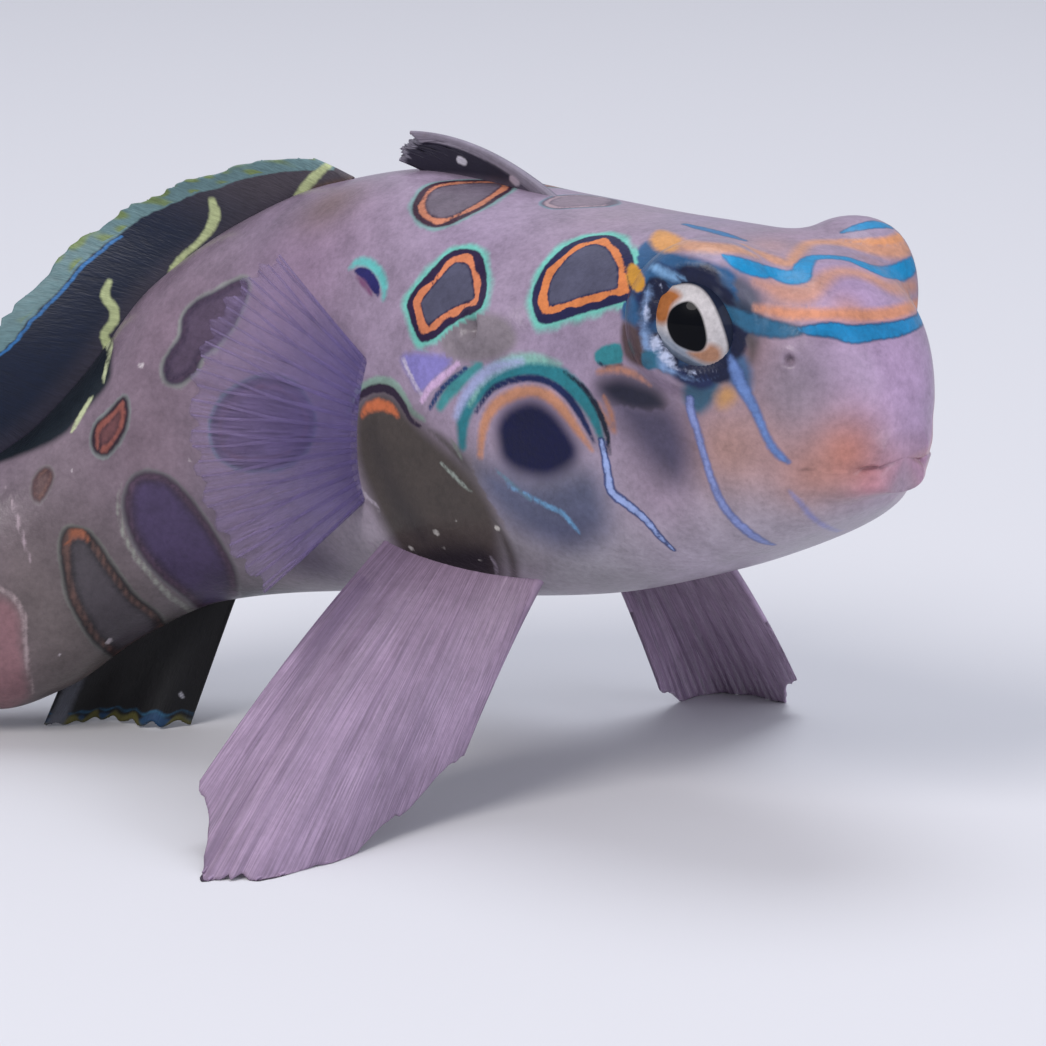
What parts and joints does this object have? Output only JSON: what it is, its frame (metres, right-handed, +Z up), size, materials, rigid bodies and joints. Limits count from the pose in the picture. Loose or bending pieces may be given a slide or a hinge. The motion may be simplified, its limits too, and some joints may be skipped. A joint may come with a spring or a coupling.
{
  "type": "spotted mandarinfish",
  "caption": "Life-size still model of a spotted mandarinfish resting on its pelvic, anal and tail fins, head turned to its right.",
  "frame": {"origin": "on the floor, under the middle of the whole fish's box", "axes": "+Z up, +X towards the head end, -Y towards the side that the head and tail bend to"},
  "size_m": [0.0512, 0.0254, 0.0213],
  "materials": {
    "skin": "smooth moist scaleless skin, lilac grey with ringed target spots and blue and orange lines",
    "eye": "glossy, white iris with brown patches and a black pupil",
    "dark_fin": "dark green-black membrane with a pale blue-green margin and yellow-green bars",
    "pale_fin": "translucent lilac membrane with pale rays"
  },
  "bodies": {
    "root": {"head": "skin", "trunk": "skin", "tail": "skin", "eye_right": "eye", "eye_left": "eye", "first_dorsal_fin": "dark_fin", "second_dorsal_fin": "dark_fin", "anal_fin": "dark_fin", "tail_fin": "pale_fin", "pectoral_fin_right": "pale_fin", "pectoral_fin_left": "pale_fin", "pelvic_fin_right": "pale_fin", "pelvic_fin_left": "pale_fin"}
  },
  "joints": []
}
